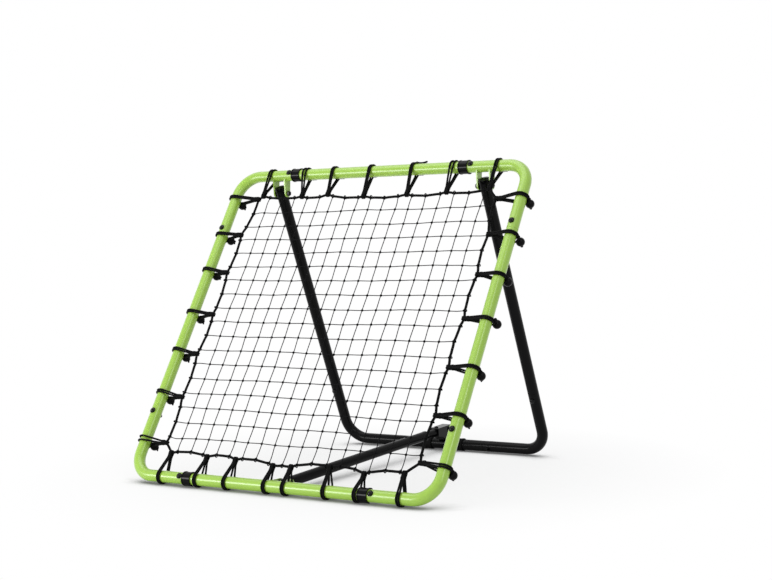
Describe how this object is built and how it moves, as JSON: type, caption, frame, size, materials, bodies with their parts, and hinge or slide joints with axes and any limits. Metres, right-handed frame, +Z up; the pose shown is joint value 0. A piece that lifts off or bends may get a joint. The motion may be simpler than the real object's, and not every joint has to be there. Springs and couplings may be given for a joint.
{
  "type": "pitch back rebounder",
  "caption": "Free-standing ball rebounder: a net hung on bungees in a square tube frame, leaning back on a hinged tube support with a hooked telescopic strut that sets the lean.",
  "frame": {"origin": "middle of the footprint, on the ground", "axes": "+Z up, -Y the way the net faces, +X along the rails, to the right of someone facing the net"},
  "size_m": [1.0102, 0.9152, 0.8568],
  "materials": {
    "green_powder_coat": "glossy powder coat, lime green",
    "black_powder_coat": "satin powder coat, black",
    "black_fasteners": "black coated steel, semi-gloss",
    "black_gloss_plastic": "glossy moulded plastic, black",
    "collar_rubber": "matte rubber sleeve, black",
    "net_twine": "knotted twine, black",
    "border_rope": "braided rope, black",
    "bungee_cord": "elastic cord in a woven sleeve, black",
    "black_balls": "glossy moulded plastic, black"
  },
  "bodies": {
    "frame": {"top_rail": "green_powder_coat", "bottom_rail": "green_powder_coat", "side_rail_left": "green_powder_coat", "side_rail_right": "green_powder_coat", "corner_top_left": "green_powder_coat", "corner_top_right": "green_powder_coat", "corner_bottom_left": "green_powder_coat", "corner_bottom_right": "green_powder_coat", "hinge_bracket_left": "green_powder_coat", "hinge_bracket_right": "green_powder_coat", "strut_bracket": "green_powder_coat", "frame_bolts": "black_fasteners", "frame_nuts": "black_fasteners", "rail_clips": "black_gloss_plastic", "net": "net_twine", "net_border_rope": "border_rope", "bungees_top": "bungee_cord", "bungees_bottom": "bungee_cord", "bungees_left": "bungee_cord", "bungees_right": "bungee_cord", "balls_top": "black_balls", "balls_bottom": "black_balls", "balls_left": "black_balls", "balls_right": "black_balls"},
    "hinge_pins": {"hinge_bolts": "black_fasteners", "hinge_nuts": "black_fasteners", "hinge_washers": "black_gloss_plastic"},
    "support": {"support_leg_left": "black_powder_coat", "support_leg_right": "black_powder_coat", "support_corner_left": "black_powder_coat", "support_corner_right": "black_powder_coat", "support_bar": "black_powder_coat", "leg_end_caps": "black_gloss_plastic", "support_bolts": "black_fasteners", "support_nuts": "black_fasteners", "bar_collars": "collar_rubber"},
    "strut_pin": {"strut_pivot_bolt": "black_fasteners", "strut_pivot_nut": "black_fasteners"},
    "strut_tube": {"strut_outer_tube": "black_powder_coat", "strut_end_plug": "black_gloss_plastic", "strut_mouth_bush": "black_gloss_plastic"},
    "strut_slider": {"strut_inner_tube": "black_powder_coat", "strut_hook": "black_gloss_plastic", "strut_hook_bolt": "black_fasteners", "strut_hook_nut": "black_fasteners"}
  },
  "joints": [
    {"name": "tilt_adjust", "type": "hinge", "parent": "frame", "child": "hinge_pins", "pos_m": [0, 0.0871, 0.78349], "axis": [1, 0, 0], "range_deg": [0, 41]},
    {"name": "support_fold", "type": "hinge", "parent": "hinge_pins", "child": "support", "pos_m": [0, 0.0871, 0.78349], "axis": [1, 0, 0], "range_deg": [-50, 0]},
    {"name": "strut_tilt", "type": "hinge", "parent": "frame", "child": "strut_pin", "pos_m": [0, -0.38682, 0.02251], "axis": [1, 0, 0], "range_deg": [0, 17.1]},
    {"name": "strut_fold", "type": "hinge", "parent": "strut_pin", "child": "strut_tube", "pos_m": [0, -0.38682, 0.02251], "axis": [1, 0, 0], "range_deg": [0, 37.4]},
    {"name": "strut_extend", "type": "slide", "parent": "strut_tube", "child": "strut_slider", "axis": [0, 0.9988, 0.0483], "range_m": [0, 0.51]}
  ],
  "couplings": [
    {"joint": "strut_tilt", "follows": "tilt_adjust", "ratio": 0.4168},
    {"joint": "strut_fold", "follows": "support_fold", "ratio": -0.746},
    {"joint": "strut_extend", "follows": "tilt_adjust", "m_per_rad": 0.7105}
  ]
}
